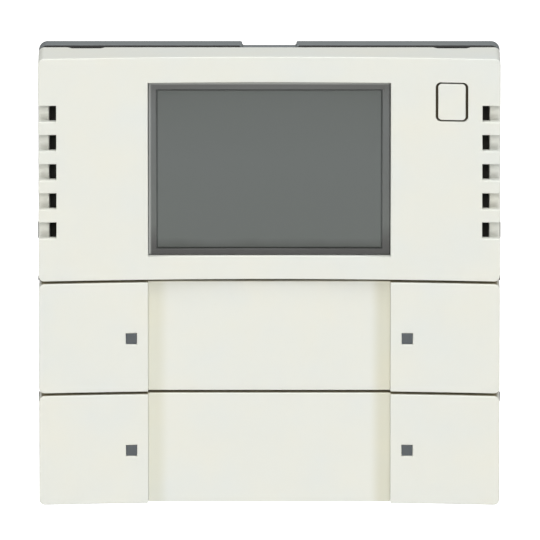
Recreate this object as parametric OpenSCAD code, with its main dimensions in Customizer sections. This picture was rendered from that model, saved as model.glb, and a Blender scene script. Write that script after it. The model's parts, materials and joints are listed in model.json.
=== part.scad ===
// Room temperature controller for a 63 mm flush-mounted switch range.
// Millimetres. X to the right, Z up, Y into the wall. The origin is the middle
// of the rear face of the grey flange, which rests on the support ring.

/* [Plate] */
// Width of the centre plate
plate_w = 63; // [60:0.5:80]
// Height of the centre plate
plate_h = 63; // [60:0.5:80]
// Height of the display section, down to its split with the upper rocker
display_h = 31.44; // [31:0.02:34]
// Depth of the cover at the middle of its dished front
cover_d = 5.7; // [5:0.1:7]
// How far the left and right edges stand proud of the middle
front_dish = 1.5; // [0.8:0.1:2]
// Radius of the visible corners of the cover and rockers
corner_r = 0.8; // [0.3:0.1:1.2]
// Visible gap between the cover and the rockers
split_gap = 0.38; // [0.2:0.02:0.6]
// Thickness of the front walls
front_wall = 1.2; // [1:0.1:1.4]
// Thickness of the outer side and top walls
side_wall = 1.5; // [1.2:0.1:1.8]
// Thickness of the walls along the splits
edge_wall = 1.0; // [0.8:0.1:1.1]

/* [Display] */
// Width of the opening for the display
window_w = 33.1; // [28:0.1:36]
// Height of the opening for the display
window_h = 24.3; // [20:0.1:24.6]
// Distance from the top edge to the opening
window_top = 3.63; // [3.6:0.01:4.5]
// Width of the visible part of the display
view_w = 30.8; // [26:0.1:31]
// Height of the visible part of the display
view_h = 22.3; // [18:0.1:22.4]
// Depth of the display bezel behind the dished front
bezel_inset = 0.3; // [0.1:0.05:0.4]
// Thickness of the bezel's lip over the glass
lip_t = 0.5; // [0.3:0.05:0.6]
// Thickness of each of the two display glasses
glass_t = 1.0; // [0.7:0.1:1.1]

/* [Key and vents] */
// Width of the small key
key_w = 3.74; // [3:0.02:5]
// Height of the small key
key_h = 5.04; // [3.6:0.02:6]
// Distance from the right edge to the middle of the key
key_from_side = 6.62; // [6:0.02:9]
// Distance from the top edge to the middle of the key
key_from_top = 6.15; // [5.8:0.05:8]
// Travel of the small key
key_travel = 0.4; // [0.2:0.05:0.4]
// Number of vent slots on each side
vent_count = 5; // [3:1:6]
// Height of a vent slot
vent_h = 2.24; // [1.5:0.02:3]
// Distance from one vent slot to the next
vent_pitch = 4.09; // [3.6:0.01:4.3]
// Distance from the top edge to the middle of the highest slot
vent_top = 7.72; // [6:0.01:9]
// How far a slot reaches in from the side
vent_reach = 2.45; // [2:0.05:3]
// Depth of the cut that a slot makes in the side wall
vent_cut = 2.1; // [1.5:0.1:3]

/* [Rockers] */
// Half width of the label field between the wings
field_half_w = 16.57; // [12:0.01:20]
// Depth of the field's floor below the edge of the wings
field_drop = 0.9; // [0.4:0.01:1]
// Thickness of the label field
field_t = 1.0; // [0.8:0.1:1.2]
// Size of the square status windows
lamp_size = 1.48; // [1:0.02:2]
// Distance from the middle of the plate to a status window
lamp_x = 18.86; // [18.6:0.05:19.2]
// How far a status window sits below the middle of its rocker
lamp_low = 0.2; // [0:0.02:1]
// Tilt of a rocker to each side, in degrees
rocker_tilt = 1; // [0.5:0.1:1]
// Radius of the pins that the rockers turn on
pivot_r = 0.75; // [0.5:0.05:0.9]
// Distance from the middle of the plate to a plunger
plunger_x = 22.8; // [22.4:0.1:23.6]
// Radius of a plunger
plunger_r = 1.0; // [0.7:0.05:1.2]
// Radius of the small key's stem
stem_r = 1.1; // [0.8:0.05:1.3]
// Clearance of pins and plungers in their bores
running_gap = 0.05; // [0.02:0.01:0.1]

/* [Housing] */
// Thickness of the rear flange
flange_t = 2.7; // [2.4:0.1:4]
// Open gap between the flange and the rim of the cover
rim_gap = 1.2; // [0.9:0.05:1.4]
// Radius of the flange's corners
flange_r = 1.2; // [0.5:0.1:2]
// Width of the notch in the flange's top edge
notch_w = 7.4; // [4:0.1:12]
// Depth of the notch in the flange's top edge
notch_d = 0.55; // [0.3:0.05:1]
// Width and height of the box behind the flange
box_w = 48; // [44:0.5:49]
// Depth of the box behind the flange
box_d = 9; // [8:0.5:14]
// Wall of the box behind the flange
box_wall = 1.6; // [1.2:0.1:2.4]
// Distance from the side of the plate to the circuit board
board_side = 5.0; // [4.9:0.1:5.1]
// Distance from the top of the plate to the circuit board
board_end = 3.3; // [3.1:0.1:4.5]
// Thickness of the circuit board
board_t = 1.6; // [1:0.1:1.8]
// Number of contact pins in each of the connector's two rows
pin_columns = 5; // [3:1:6]
// Pitch of the contact pins
pin_pitch = 2.54; // [2:0.01:2.54]

/* [Hidden] */
$fn = 64;

// Colours
ivory = [0.91, 0.91, 0.87];
housing_grey = [0.47, 0.49, 0.50];
black = [0.12, 0.12, 0.12];
board_green = [0.12, 0.38, 0.22];
steel = [0.75, 0.76, 0.78];
bezel_grey = [0.44, 0.46, 0.45];
glass_grey = [0.45, 0.47, 0.46];
lamp_grey = [0.39, 0.41, 0.42];
clear_white = [0.93, 0.95, 0.96];
gold = [0.85, 0.68, 0.30];

// Overall places
half_w = plate_w / 2;
half_h = plate_h / 2;
rim_y = -(flange_t + rim_gap);
front_y = rim_y - cover_d;
dish_r = (half_w * half_w + front_dish * front_dish) / (2 * front_dish);
ahead = front_y - front_dish - 1;
split_z = half_h - display_h;
cover_low = split_z + split_gap / 2;
cover_h = half_h - cover_low;
cover_z = cover_low + cover_h / 2;
inner_half_w = half_w - side_wall;
rocker_pitch = (plate_h - display_h) / 2;
cut = 0.5;

// Front surface at a distance from the middle, and its slope there
function front_at(x) = front_y - dish_r + sqrt(dish_r * dish_r - x * x);
function front_slope(x) = asin(x / dish_r);
function row_z(row) = split_z - rocker_pitch / 2 - (row == "lower" ? rocker_pitch : 0);
function lamp_z(row) = row_z(row) - lamp_low;
function side_of(side) = side == "left" ? -1 : 1;

// Walls and hooks of the cover
hook_x = half_w - 18;
hook_w = 5;
hook_t = 0.8;
hook_root = 0.6;
hook_gap = 0.1;
hook_z = half_h - side_wall - 0.5 - hook_t / 2;
recess_x = half_w - 6.55;
recess_w = 5.1;
recess_d = 0.6;

// Display stack, from the front
window_z = half_h - window_top - window_h / 2;
view_drop = 0.07;
view_z = window_z - view_drop;
bezel_y = front_y + bezel_inset;
bezel_gap = 0.1;
glass_edge = 0.4;
glass_w = view_w + 2 * glass_edge;
glass_h = view_h + 2 * glass_edge;
glass_y = bezel_y + lip_t;
glass_gap = 0.1;
pane_gap = 0.12;
pane_y = glass_y - lip_t / 2;
bezel_edge = 0.7;
bezel_back_y = front_y + front_wall + 0.05;
glass_split_y = glass_y + glass_t;
glass_back_y = glass_split_y + glass_t;
ledge_h = 1.6;
glass_low = view_z - glass_h / 2 - ledge_h;
cell_z = glass_low + (glass_h + ledge_h) / 2;
film_gap = 0.02;
frame_y = glass_split_y + 0.05;
frame_wall = 0.8;
frame_gap = 0.1;
guide_t = 1.2;
guide_y = glass_back_y + film_gap;
guide_back_y = guide_y + guide_t;
frame_floor_t = 0.5;
strip_w = 28;
strip_h = 1.0;
strip_side_gap = 0.2;
strip_end_gap = 0.15;
strip_z = glass_low + ledge_h / 2;
back_lamp_x = 7;
back_lamp_w = 3.5;
back_lamp_h = 2.8;
back_lamp_t = 0.8;
back_lamp_gap = 0.4;
light_side = 2;
light_end = 3;

// Board and flange pocket
board_w = plate_w - 2 * board_side;
board_h = plate_h - 2 * board_end;
board_r = 0.8;
board_gap = 0.05;
board_y = -flange_t + board_gap;
board_back_y = board_y + board_t;
pocket_y = board_back_y + board_gap;
pocket_slack = 0.15;

// Rear box, connector and clips
box_inner = box_w - 2 * box_wall;
box_r = 2;
inner_r = 1;
notch_r = 0.3;
slot_count = 5;
slot_w = 8;
slot_h = 1.4;
slot_pitch = 4;
slot_x = 11.2;
shell_t = 1;
connector_w = pin_columns * pin_pitch + 2.5;
connector_h = 2 * pin_pitch + 2;
connector_reach = 4.5;
connector_gap = 0.2;
connector_y = box_d + connector_reach;
well_d = 6;
pin_size = 0.64;
pin_fit = 0.01;
pin_inset = 0.8;
clip_t = 0.4;
clip_w = 9;
clip_gap = 0.02;
clip_root_y = 2.5;
clip_end_y = box_d - 0.8;
clip_knee_y = box_d - 4.6;
clip_tip_y = box_d - 6.4;
clip_spread = 2.2;
clip_tip_spread = 1.1;

// Parts on the rear of the board: place, size and thickness
controller_place = [-12, 13];
controller_size = [10, 10, 1.4];
transceiver_place = [12, 14];
transceiver_size = [5, 6, 1.6];
capacitor_place = [13, -13];
capacitor_r = 3.15;
capacitor_t = 5.4;
crystal_place = [-12, -12];
crystal_size = [5, 3.2, 1.2];

// Sensor board and its bead
sensor_t = 0.8;
sensor_h = 11;
sensor_from_side = 5.8;
sensor_x = -(half_w - sensor_from_side);
sensor_y = rim_y - 3.6;
sensor_gap = 0.1;
bead_r = 0.9;
lead_r = 0.2;
lead_pitch = 0.9;
lead_l = 1.6;
bead_x = sensor_x - sensor_t / 2 - lead_l;
bead_y = sensor_y + 1.2;

// Chassis
chassis_inset = 0.02;
chassis_w = plate_w - 2 * chassis_inset;
chassis_h = plate_h - 2 * chassis_inset;
chassis_r = 1.2;
chassis_notch = 0.3;
lug_t = 0.7;
lug_reach = 0.16;
lug_y = (rim_y - flange_t - lug_t) / 2;
lug_places = [[5.7, 2.3], [-1.1, 0.6], [-17.9, 1.3]];
guide_size = 5;
guide_top_y = rim_y - 1.3;
switch_size = 3;
switch_gap = 0.2;
switch_body_t = 0.5;
switch_dome_t = 0.13;
switch_dome_r = 0.9;
switch_y = board_y - switch_body_t;
dome_y = switch_y - switch_dome_t;
plunger_travel = plunger_x * tan(rocker_tilt);
press_gap = 0.04;

// Rockers
rocker_h = rocker_pitch - split_gap;
rocker_back_y = rim_y - 1.75;
crease_y = front_y - dish_r + sqrt(dish_r * dish_r - field_half_w * field_half_w);
floor_y = crease_y + field_drop;
seat_y = floor_y + field_t;
bridge_t = 1.1;
bridge_y = seat_y + bridge_t;
end_wall = 1.2;
pivot_y = rim_y - 1.4;
pivot_press = 0.01;
eye_w = 4;
eye_t = 1.6;
eye_gap = 0.3;
eye_back = 1.2;
ear_y = bridge_y + 0.2;
eye_z = rocker_h / 2 - edge_wall - eye_t / 2 - 1;
ear_z = eye_z - eye_t - eye_gap;
pin_over = 0.3;
pin_h = 2 * (eye_z + eye_t / 2 + pin_over);
tab_w = 3;
tab_h = 1;
tab_gap = 0.1;
tab_over = 0.3;
tab_x = field_half_w - 3.5;
tab_z = rocker_h / 2 - 2.6;
field_gap = 0.02;
lamp_gap = 0.02;
lamp_sink = 0.06;
lamp_flange = 0.26;
lamp_flange_t = 0.4;
status_w = 1.6;
status_h = 0.8;
status_t = 0.6;
status_gap = 0.3;
plunger_tip_gap = 0.08;
collar_r = plunger_r + 0.8;
collar_t = 0.5;
collar_y = guide_top_y - 1.6;
coil_gap = 0.35;
coil_wire_r = 0.12;
coil_turns = 4;

// Rails of the cover behind the rockers
rail_inset = 0.2;
rail_w = 1.2;
rail_t = 1.05;
rail_y = rim_y - rail_t;

// Small key
key_x = half_w - key_from_side;
key_z = half_h - key_from_top;
key_side_gap = 0.34;
key_end_gap = 0.22;
key_r = 0.5;
key_flange = 0.55;
key_flange_t = 0.6;
key_flange_gap = 0.06;
key_flange_y = front_at(key_x - key_w / 2 - key_flange) + front_wall + key_flange_gap;
key_tip_y = dome_y - press_gap - key_travel;

// Screws
screw_r = 0.65;
screw_head_r = 1.5;
screw_head_t = 1.0;
screw_sink = 0.05;
screw_slot_w = 0.4;
screw_slot_l = 1.8;
screw_slot_d = 0.5;
screw_gap = 0.15;
screw_head_gap = 0.1;
screw_bite = 0.01;
screw_x = half_w - 2.8;
screw_z = half_h - 3.2;
boss_r = 1.2;
boss_y = rim_y - 1.45;
boss_cap = 0.3;
screw_tip_gap = 0.2;

// Rounded rectangle in the plane of the plate
module rounded(w, h, r) {
    square([w - 2 * r, h], center = true);
    square([w, h - 2 * r], center = true);
    for (x = [-1, 1], z = [-1, 1])
        translate([x * (w / 2 - r), z * (h / 2 - r)])
            circle(r);
}

// An outline in X and Z, made solid between two depths
module slab(y_near, y_far) {
    translate([0, y_far, 0])
        rotate([90, 0, 0])
            linear_extrude(y_far - y_near)
                children();
}

// A cylinder along Y
module rod(x, z, r, y_near, y_far) {
    slab(y_near, y_far)
        translate([x, z])
            circle(r);
}

// A box by its middle in X and Z
module block(x, z, w, h, y_near, y_far) {
    translate([x - w / 2, y_near, z - h / 2])
        cube([w, y_far - y_near, h]);
}

// Everything in front of the dished surface, moved back by a depth
module in_front(depth = 0) {
    translate([0, front_y - dish_r, -plate_h])
        cylinder(r = dish_r + depth, h = 2 * plate_h, $fn = 256);
}

// A flat strip bent along points in X and Y, standing along Z
module bent_strip(points, t, w) {
    translate([0, 0, -w / 2])
        linear_extrude(w) {
            for (p = points)
                translate(p)
                    circle(t / 2);
            for (i = [1 : len(points) - 1]) {
                step = points[i] - points[i - 1];
                translate(points[i - 1])
                    rotate(atan2(step[1], step[0]))
                        translate([0, -t / 2])
                            square([norm(step), t]);
            }
        }
}

// A coil spring along Y
module coil(x, z, r, y_near, y_far) {
    sides = 6;
    per_turn = 16;
    rings = coil_turns * per_turn;
    rise = y_far - y_near - 2 * coil_wire_r;
    points = [
        for (i = [0 : rings], k = [0 : sides - 1])
            let (a = 360 * i / per_turn, b = 360 * k / sides, m = r + coil_wire_r * cos(b))
                [x + m * cos(a), y_near + coil_wire_r * (1 + sin(b)) + rise * i / rings, z + m * sin(a)]
    ];
    walls = [
        for (i = [0 : rings - 1], k = [0 : sides - 1])
            let (n = (k + 1) % sides)
                [i * sides + k, i * sides + n, (i + 1) * sides + n, (i + 1) * sides + k]
    ];
    first = [for (k = [sides - 1 : -1 : 0]) k];
    last = [for (k = [0 : sides - 1]) rings * sides + k];
    polyhedron(points, concat([first], walls, [last]), convexity = 8);
}

// Grey rear housing: the flange and the shallow box behind it
module rear_housing() {
    color(housing_grey)
        difference() {
            union() {
                slab(-flange_t, 0)
                    rounded(plate_w, plate_h, flange_r);
                slab(-cut, box_d)
                    rounded(box_w, box_w, box_r);
            }
            slab(-flange_t - cut, pocket_y)
                rounded(board_w + 2 * pocket_slack, board_h + 2 * pocket_slack, inner_r);
            slab(pocket_y - cut, box_d - box_wall)
                rounded(box_inner, box_inner, inner_r);
            block(
                0, 0, connector_w + 2 * connector_gap, connector_h + 2 * connector_gap,
                box_d - box_wall - cut, box_d + cut
            );
            slab(-flange_t - cut, cut)
                translate([0, half_h])
                    rounded(notch_w, 2 * notch_d, notch_r);
            for (x = [-1, 1], z = [-1, 1]) {
                rod(x * screw_x, z * screw_z, screw_r + screw_gap, -flange_t - cut, cut);
                rod(
                    x * screw_x, z * screw_z, screw_head_r + screw_head_gap,
                    -screw_head_t - screw_head_gap, cut
                );
            }
            for (x = [-1, 1], i = [0 : slot_count - 1])
                block(
                    x * slot_x, (i - (slot_count - 1) / 2) * slot_pitch, slot_w, slot_h,
                    box_d - box_wall - cut, box_d + cut
                );
        }
}

// Black carrier between the flange and the cover
module chassis() {
    color(black)
        difference() {
            union() {
                slab(rim_y, -flange_t)
                    rounded(chassis_w, chassis_h, chassis_r);
                for (p = lug_places)
                    block(0, p[0], plate_w + 2 * lug_reach, p[1], lug_y, lug_y + lug_t);
                for (x = [-1, 1], z = [-1, 1])
                    rod(x * screw_x, z * screw_z, boss_r, boss_y, rim_y + cut);
                for (row = ["upper", "lower"]) {
                    for (x = [-1, 1])
                        block(x * plunger_x, row_z(row), guide_size, guide_size, guide_top_y, rim_y + cut);
                    for (z = [-1, 1])
                        block(0, row_z(row) + z * ear_z, eye_w, eye_t, ear_y, rim_y + cut);
                }
                block(key_x, key_z, guide_size, guide_size, guide_top_y, rim_y + cut);
            }
            chassis_window(0, window_z, view_w - 2 * light_side, view_h - 2 * light_end, 0);
            chassis_window(0, half_h, notch_w, 2 * notch_d, chassis_notch);
            chassis_window(0, strip_z, strip_w + 2 * strip_side_gap, strip_h + 2 * strip_end_gap, 0);
            for (row = ["upper", "lower"]) {
                for (x = [-1, 1]) {
                    switch_bay(x * plunger_x, row_z(row), plunger_r);
                    chassis_window(x * lamp_x, lamp_z(row), status_w, status_h, status_gap);
                }
                translate([0, pivot_y, row_z(row) - rocker_h / 2])
                    cylinder(r = pivot_r + pivot_press, h = rocker_h);
            }
            switch_bay(key_x, key_z, stem_r);
            chassis_window(sensor_x, window_z, sensor_t, sensor_h, sensor_gap);
            for (x = [-1, 1], z = [-1, 1])
                rod(x * screw_x, z * screw_z, screw_r + screw_bite, boss_y + boss_cap, -flange_t + cut);
            for (x = [-1, 1])
                chassis_window(x * hook_x, hook_z, hook_w, hook_t, hook_gap);
        }
}

// A window through the flat part of the chassis
module chassis_window(x, z, w, h, gap) {
    block(x, z, w + 2 * gap, h + 2 * gap, rim_y - cut, -flange_t + cut);
}

// Room for a board switch, and the guide bore in front of it
module switch_bay(x, z, r) {
    block(x, z, switch_size + 2 * switch_gap, switch_size + 2 * switch_gap, rim_y, -flange_t + cut);
    rod(x, z, r + running_gap, guide_top_y - cut, rim_y + cut);
}

// Main circuit board
module main_board() {
    color(board_green)
        slab(board_y, board_back_y)
            rounded(board_w, board_h, board_r);
}

// Ivory display cover with its vents, openings and side rails
module display_cover() {
    color(ivory) {
        difference() {
            union() {
                difference() {
                    slab(ahead, rim_y)
                        translate([0, cover_z])
                            rounded(plate_w, cover_h, corner_r);
                    in_front();
                }
                rails();
            }
            difference() {
                translate([-inner_half_w, ahead, cover_low + edge_wall])
                    cube([2 * inner_half_w, rim_y - ahead + cut, cover_h - side_wall - edge_wall]);
                in_front(front_wall);
            }
            block(0, window_z, window_w, window_h, ahead, bezel_back_y);
            slab(ahead, bezel_back_y)
                translate([key_x, key_z])
                    rounded(key_w + 2 * key_side_gap, key_h + 2 * key_end_gap, key_r + 0.2);
            vents();
            rim_recesses();
        }
        for (x = [-1, 1])
            hook(x * hook_x);
    }
}

// Hook under the top wall, which enters a slot in the chassis
module hook(x) {
    block(x, hook_z, hook_w, hook_t, front_y + front_wall / 2, -flange_t - board_gap);
    block(x, hook_z + hook_t / 2 + hook_root / 2, hook_w, hook_root, front_y + front_wall / 2, rim_y);
}

// Rails that join the cover behind the rockers
module rails() {
    difference() {
        slab(rail_y, rim_y)
            rounded(plate_w - 2 * rail_inset, plate_h - 2 * rail_inset, corner_r);
        block(
            0, 0, plate_w - 2 * (rail_inset + rail_w), plate_h - 2 * (rail_inset + rail_w),
            rail_y - cut, rim_y + cut
        );
        block(0, cover_low + edge_wall + plate_h / 2, plate_w + cut, plate_h, rail_y - cut, rim_y + cut);
    }
}

// Vent slots through the front and both side walls
module vents() {
    for (x = [-1, 1], i = [0 : vent_count - 1])
        block(
            x * (half_w - vent_reach / 2 + cut), half_h - vent_top - i * vent_pitch,
            vent_reach + 2 * cut, vent_h,
            ahead, front_y - front_dish + vent_cut
        );
}

// Shallow recesses with slanted ends in the rear rim of the top wall
module rim_recesses() {
    for (x = [-1, 1])
        translate([x * recess_x, rim_y, half_h - side_wall - cut])
            linear_extrude(side_wall + 2 * cut)
                polygon([
                    [-recess_w / 2, cut], [-recess_w / 2, 0],
                    [-recess_w / 2 + recess_d, -recess_d], [recess_w / 2 - recess_d, -recess_d],
                    [recess_w / 2, 0], [recess_w / 2, cut]
                ]);
}

// Grey bezel that frames the display glass
module display_bezel() {
    color(bezel_grey)
        difference() {
            union() {
                block(
                    0, window_z, window_w - 2 * bezel_gap, window_h - 2 * bezel_gap,
                    bezel_y, glass_split_y
                );
                block(
                    0, window_z, window_w + 2 * bezel_edge, window_h + 2 * bezel_edge,
                    bezel_back_y, glass_split_y
                );
            }
            block(0, view_z, view_w, view_h, bezel_y - cut, glass_split_y + cut);
            block(
                0, view_z, glass_w + 2 * glass_gap, glass_h + 2 * glass_gap,
                glass_y, glass_split_y + cut
            );
        }
}

// Display cell: a pane in the bezel's opening, the front glass, and a taller rear glass
module lcd_cell() {
    color(glass_grey) {
        block(0, view_z, glass_w, glass_h, glass_y + film_gap, glass_split_y);
        block(
            0, view_z, view_w - 2 * pane_gap, view_h - 2 * pane_gap,
            pane_y, glass_y + glass_t / 2
        );
        block(0, cell_z, glass_w, glass_h + ledge_h, glass_split_y, glass_back_y);
    }
}

// Light guide behind the display cell
module backlight_guide() {
    color(clear_white)
        block(0, view_z, glass_w, glass_h, guide_y, guide_back_y);
}

// Black frame that holds the display cell and its light guide
module display_frame() {
    frame_in_w = glass_w + 2 * (glass_gap + frame_gap);
    frame_in_h = glass_h + ledge_h + 2 * glass_gap;
    floor_front = guide_back_y + film_gap;
    color(black)
        difference() {
            block(0, cell_z, frame_in_w + 2 * frame_wall, frame_in_h + 2 * frame_wall, frame_y, rim_y);
            block(0, cell_z, frame_in_w, frame_in_h, frame_y - cut, floor_front);
            block(0, cell_z, frame_in_w, frame_in_h, floor_front + frame_floor_t, rim_y + cut);
            block(
                0, strip_z, strip_w + 2 * strip_side_gap, strip_h + 2 * strip_end_gap,
                frame_y, rim_y + cut
            );
            for (x = [-1, 1])
                block(
                    x * back_lamp_x, window_z,
                    back_lamp_w + 2 * back_lamp_gap, back_lamp_h + 2 * back_lamp_gap,
                    frame_y, rim_y + cut
                );
        }
}

// Rubber strip that joins the display's contacts to the board
module contact_strip() {
    color([0.55, 0.30, 0.32])
        block(0, strip_z, strip_w, strip_h, glass_back_y, board_y);
}

// Two lamps on the board behind the light guide
module backlight_lamps() {
    color(clear_white)
        for (x = [-1, 1])
            block(x * back_lamp_x, window_z, back_lamp_w, back_lamp_h, board_y - back_lamp_t, board_y);
}

// Small key with its retaining flange and stem
module function_key() {
    key_back_y = key_flange_y + key_flange_t;
    color(ivory) {
        difference() {
            slab(ahead, key_flange_y)
                translate([key_x, key_z])
                    rounded(key_w, key_h, key_r);
            translate([key_x, front_at(key_x), key_z])
                rotate([0, 0, -front_slope(key_x)])
                    block(0, 0, 2 * key_w, 2 * key_h, -2 * front_dish, 0);
        }
        block(
            key_x, key_z, key_w + 2 * key_flange, key_h + 2 * key_flange,
            key_flange_y, key_back_y
        );
        rod(key_x, key_z, stem_r, key_back_y, key_tip_y);
    }
}

// Return spring of the small key
module key_spring() {
    color(steel)
        coil(key_x, key_z, stem_r + coil_gap, key_flange_y + key_flange_t, guide_top_y);
}

// Low push switch on the board, with its metal dome
module board_switch(x, z) {
    color(steel) {
        block(x, z, switch_size, switch_size, switch_y, board_y);
        rod(x, z, switch_dome_r, dome_y, switch_y);
    }
}

// Ivory label field, clipped into the middle of a rocker
module label_field(row) {
    color(ivory)
        translate([0, 0, row_z(row)]) {
            block(0, 0, 2 * (field_half_w - field_gap), rocker_h, floor_y, seat_y);
            for (x = [-1, 1], z = [-1, 1])
                block(x * tab_x, z * tab_z, tab_w, tab_h, seat_y, bridge_y + tab_over);
        }
}

// Ivory rocker: two wings, a bridge under the label field and two hinge eyes
module rocker(row) {
    wing_start = field_half_w + end_wall;
    color(ivory)
        translate([0, 0, row_z(row)])
            difference() {
                union() {
                    difference() {
                        slab(ahead, rocker_back_y)
                            rounded(plate_w, rocker_h, corner_r);
                        in_front();
                        for (x = [-1, 1])
                            difference() {
                                block(
                                    x * (wing_start + inner_half_w) / 2, 0,
                                    inner_half_w - wing_start, rocker_h - 2 * edge_wall,
                                    ahead, rocker_back_y + cut
                                );
                                in_front(front_wall);
                            }
                        block(0, 0, 2 * field_half_w, rocker_h + 1, ahead, seat_y);
                        block(
                            0, 0, 2 * wing_start + cut, rocker_h - 2 * edge_wall,
                            bridge_y, rocker_back_y + cut
                        );
                    }
                    for (z = [-1, 1])
                        block(0, z * eye_z, eye_w, eye_t, bridge_y - cut, pivot_y + eye_back);
                }
                translate([0, pivot_y, -rocker_h / 2 + edge_wall])
                    cylinder(r = pivot_r + running_gap, h = rocker_h - 2 * edge_wall);
                for (x = [-1, 1]) {
                    block(
                        x * lamp_x, -lamp_low, lamp_size + 2 * lamp_gap, lamp_size + 2 * lamp_gap,
                        ahead, front_at(lamp_x) + 2 * front_wall
                    );
                    for (z = [-1, 1])
                        block(
                            x * tab_x, z * tab_z, tab_w + 2 * tab_gap, tab_h + 2 * tab_gap,
                            seat_y - cut, bridge_y + cut
                        );
                }
            }
}

// Steel pin that a rocker turns on
module pivot_pin(row) {
    color(steel)
        translate([0, pivot_y, row_z(row) - pin_h / 2])
            cylinder(r = pivot_r, h = pin_h);
}

// Square smoked window in a wing, with its flange behind the wall
module status_window(row, side) {
    x = side_of(side) * lamp_x;
    back_y = front_at(lamp_x - lamp_size / 2 - lamp_flange) + front_wall + lamp_gap;
    flange_size = lamp_size + 2 * lamp_flange;
    color(lamp_grey) {
        block(x, lamp_z(row), lamp_size, lamp_size, front_at(lamp_x) + lamp_sink, back_y);
        block(x, lamp_z(row), flange_size, flange_size, back_y, back_y + lamp_flange_t);
    }
}

// Plunger that carries a wing's press to its switch
module plunger(row, side) {
    x = side_of(side) * plunger_x;
    tip_y = front_at(plunger_x - plunger_r) + front_wall + plunger_tip_gap;
    color(black) {
        rod(x, row_z(row), plunger_r, tip_y, dome_y - press_gap - plunger_travel);
        rod(x, row_z(row), collar_r, collar_y - collar_t, collar_y);
    }
}

// Return spring between the chassis and a plunger's collar
module plunger_spring(row, side) {
    color(steel)
        coil(side_of(side) * plunger_x, row_z(row), plunger_r + coil_gap, collar_y, guide_top_y);
}

// Lamp on the board behind a status window
module status_lamp(row, side) {
    color(clear_white)
        block(side_of(side) * lamp_x, lamp_z(row), status_w, status_h, board_y - status_t, board_y);
}

// Sensor board, which stands on the main board near the vents
module sensor_board() {
    color(board_green)
        block(sensor_x, window_z, sensor_t, sensor_h, sensor_y, board_y);
}

// Bead sensor on two leads, level with the vents
module temperature_sensor() {
    color([0.18, 0.16, 0.15])
        translate([bead_x, bead_y, window_z]) {
            sphere(r = bead_r);
            for (z = [-1, 1])
                translate([0, 0, z * lead_pitch / 2])
                    rotate([0, 90, 0])
                        cylinder(r = lead_r, h = lead_l);
        }
}

// Parts on the rear of the board
module chip(place, size) {
    block(place[0], place[1], size[0], size[1], board_back_y, board_back_y + size[2]);
}

module microcontroller() {
    color(black)
        chip(controller_place, controller_size);
}

module bus_transceiver() {
    color(black)
        chip(transceiver_place, transceiver_size);
}

module buffer_capacitor() {
    color([0.20, 0.22, 0.30])
        rod(
            capacitor_place[0], capacitor_place[1], capacitor_r,
            board_back_y, board_back_y + capacitor_t
        );
}

module quartz_crystal() {
    color(steel)
        chip(crystal_place, crystal_size);
}

// Shroud of the plug-in connector to the bus coupler
module bus_connector() {
    well_y = connector_y - well_d;
    color(black)
        difference() {
            block(0, 0, connector_w, connector_h, board_back_y, connector_y);
            block(
                0, 0, connector_w - 2 * shell_t, connector_h - 2 * shell_t,
                well_y, connector_y + cut
            );
            pin_grid(pin_size + 2 * pin_fit, board_back_y - cut, well_y + cut);
        }
}

// Places of the contact pins, drawn as square bars
module pin_grid(size, y_near, y_far) {
    for (c = [0 : pin_columns - 1], r = [-1, 1])
        block(
            (c - (pin_columns - 1) / 2) * pin_pitch, r * pin_pitch / 2, size, size,
            y_near, y_far
        );
}

module connector_pins() {
    color(gold)
        pin_grid(pin_size, board_back_y, connector_y - pin_inset);
}

// Spring clip on the side of the rear box
module retaining_clip(side) {
    s = side_of(side);
    x0 = box_w / 2 + clip_t / 2 + clip_gap;
    color(steel)
        bent_strip(
            [
                [s * x0, clip_root_y], [s * x0, clip_end_y],
                [s * (x0 + clip_spread), clip_knee_y],
                [s * (x0 + clip_tip_spread), clip_tip_y]
            ],
            clip_t, clip_w
        );
}

// Four screws that clamp the flange to the chassis
module housing_screws() {
    color(steel)
        for (x = [-1, 1], z = [-1, 1])
            difference() {
                union() {
                    rod(
                        x * screw_x, z * screw_z, screw_r,
                        boss_y + boss_cap + screw_tip_gap, -screw_head_t
                    );
                    rod(
                        x * screw_x, z * screw_z, screw_head_r,
                        -screw_head_t - screw_sink, -screw_sink
                    );
                }
                block(x * screw_x, z * screw_z, screw_slot_l, screw_slot_w, -screw_slot_d, cut);
                block(x * screw_x, z * screw_z, screw_slot_w, screw_slot_l, -screw_slot_d, cut);
            }
}

rear_housing();
chassis();
main_board();
display_cover();
display_bezel();
lcd_cell();
backlight_guide();
display_frame();
contact_strip();
backlight_lamps();
function_key();
key_spring();
board_switch(key_x, key_z);  // key_switch
for (row = ["upper", "lower"]) {
    rocker(row);
    label_field(row);
    pivot_pin(row);
    for (side = ["left", "right"]) {
        place = str(row, "_", side);
        status_window(row, side);
        plunger(row, side);
        plunger_spring(row, side);
        status_lamp(row, side);
        board_switch(side_of(side) * plunger_x, row_z(row));
    }
}
microcontroller();
bus_transceiver();
buffer_capacitor();
quartz_crystal();
sensor_board();
temperature_sensor();
bus_connector();
connector_pins();
retaining_clip("left");  // retaining_clip_left
retaining_clip("right");  // retaining_clip_right
housing_screws();
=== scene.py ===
# Room temperature controller: an ivory 63 mm plate with a display, a small key and two wide rockers
import json
import math

import bmesh
import bpy
from mathutils import Matrix, Vector


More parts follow.
